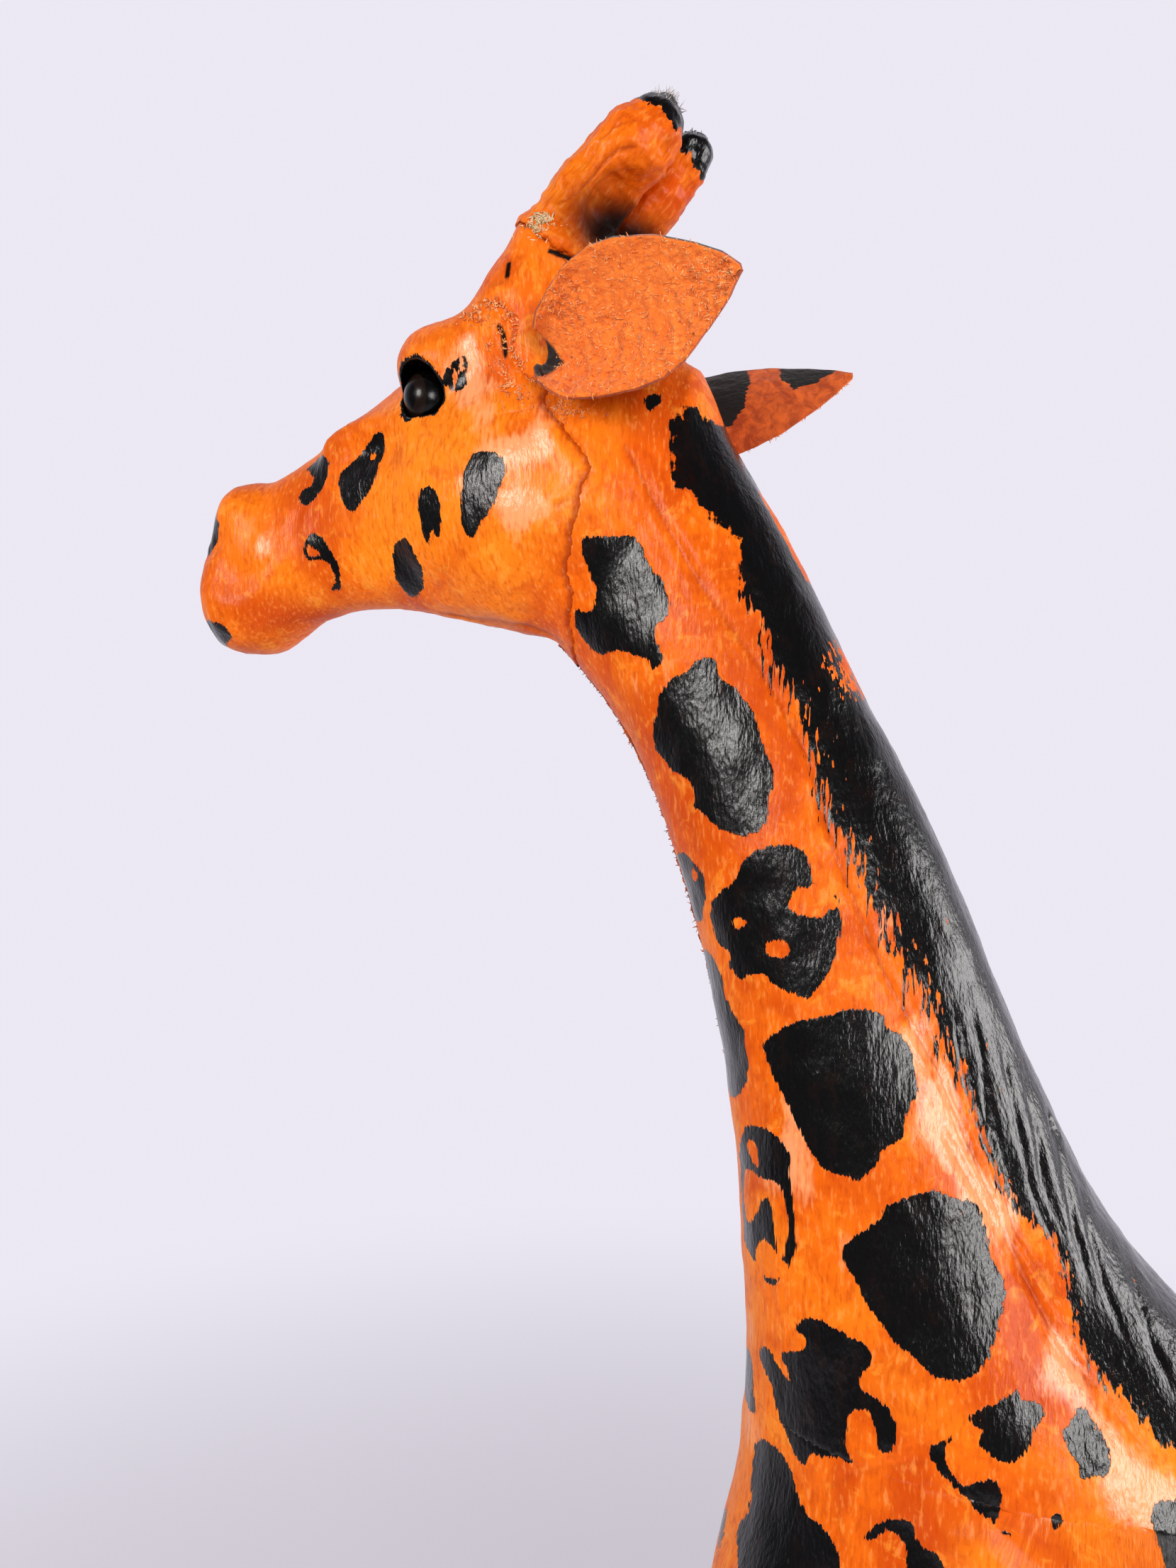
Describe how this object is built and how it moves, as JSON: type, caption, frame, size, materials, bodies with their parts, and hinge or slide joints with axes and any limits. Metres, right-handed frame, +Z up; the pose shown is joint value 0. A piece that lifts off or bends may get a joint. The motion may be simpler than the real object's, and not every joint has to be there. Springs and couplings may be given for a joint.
{
  "type": "giraffe statue",
  "caption": "Standing giraffe figure with a long neck, carved wooden core under a glued leather skin, cut leather ears, glass eyes, wrapped horn pegs and black hooves.",
  "frame": {"origin": "on the ground plane, at the centre of the bounding box", "axes": "+Z up, -Y towards the nose, +X towards the giraffe's left side; the Y-Z plane is the plane of symmetry"},
  "size_m": [0.12, 0.4738, 0.859],
  "materials": {
    "carved_wood": "dry, roughly carved",
    "leather_skin": "painted, satin",
    "ear_leather": "suede face, cut edges",
    "black_hoof": "black paint, gloss",
    "glass_eye": "gloss",
    "iron_wire": "dull",
    "fibre_tuft": "frayed fibre",
    "black_fibre": "black hair"
  },
  "bodies": {
    "root": {"face_skin": "leather_skin", "crown_skin": "leather_skin", "head_core": "carved_wood", "neck_core": "carved_wood", "neck_skin": "leather_skin", "throat_lap": "leather_skin", "torso_core": "carved_wood", "torso_skin": "leather_skin", "tail_wire": "iron_wire", "tail_wrap": "leather_skin", "tail_tuft": "black_fibre", "neck_dowels": "carved_wood", "head_dowels": "carved_wood", "leg_dowels": "carved_wood", "hoof_pins": "carved_wood", "leg_core_front_left": "carved_wood", "leg_skin_front_left": "leather_skin", "hoof_front_left": "black_hoof", "leg_core_rear_left": "carved_wood", "leg_skin_rear_left": "leather_skin", "hoof_rear_left": "black_hoof", "ear_left": "ear_leather", "eye_left": "glass_eye", "eyelid_left": "leather_skin", "horn_peg_left": "carved_wood", "horn_wrap_left": "leather_skin", "horn_tuft_left": "fibre_tuft", "leg_core_front_right": "carved_wood", "leg_skin_front_right": "leather_skin", "hoof_front_right": "black_hoof", "leg_core_rear_right": "carved_wood", "leg_skin_rear_right": "leather_skin", "hoof_rear_right": "black_hoof", "ear_right": "ear_leather", "eye_right": "glass_eye", "eyelid_right": "leather_skin", "horn_peg_right": "carved_wood", "horn_wrap_right": "leather_skin", "horn_tuft_right": "fibre_tuft"}
  },
  "joints": []
}
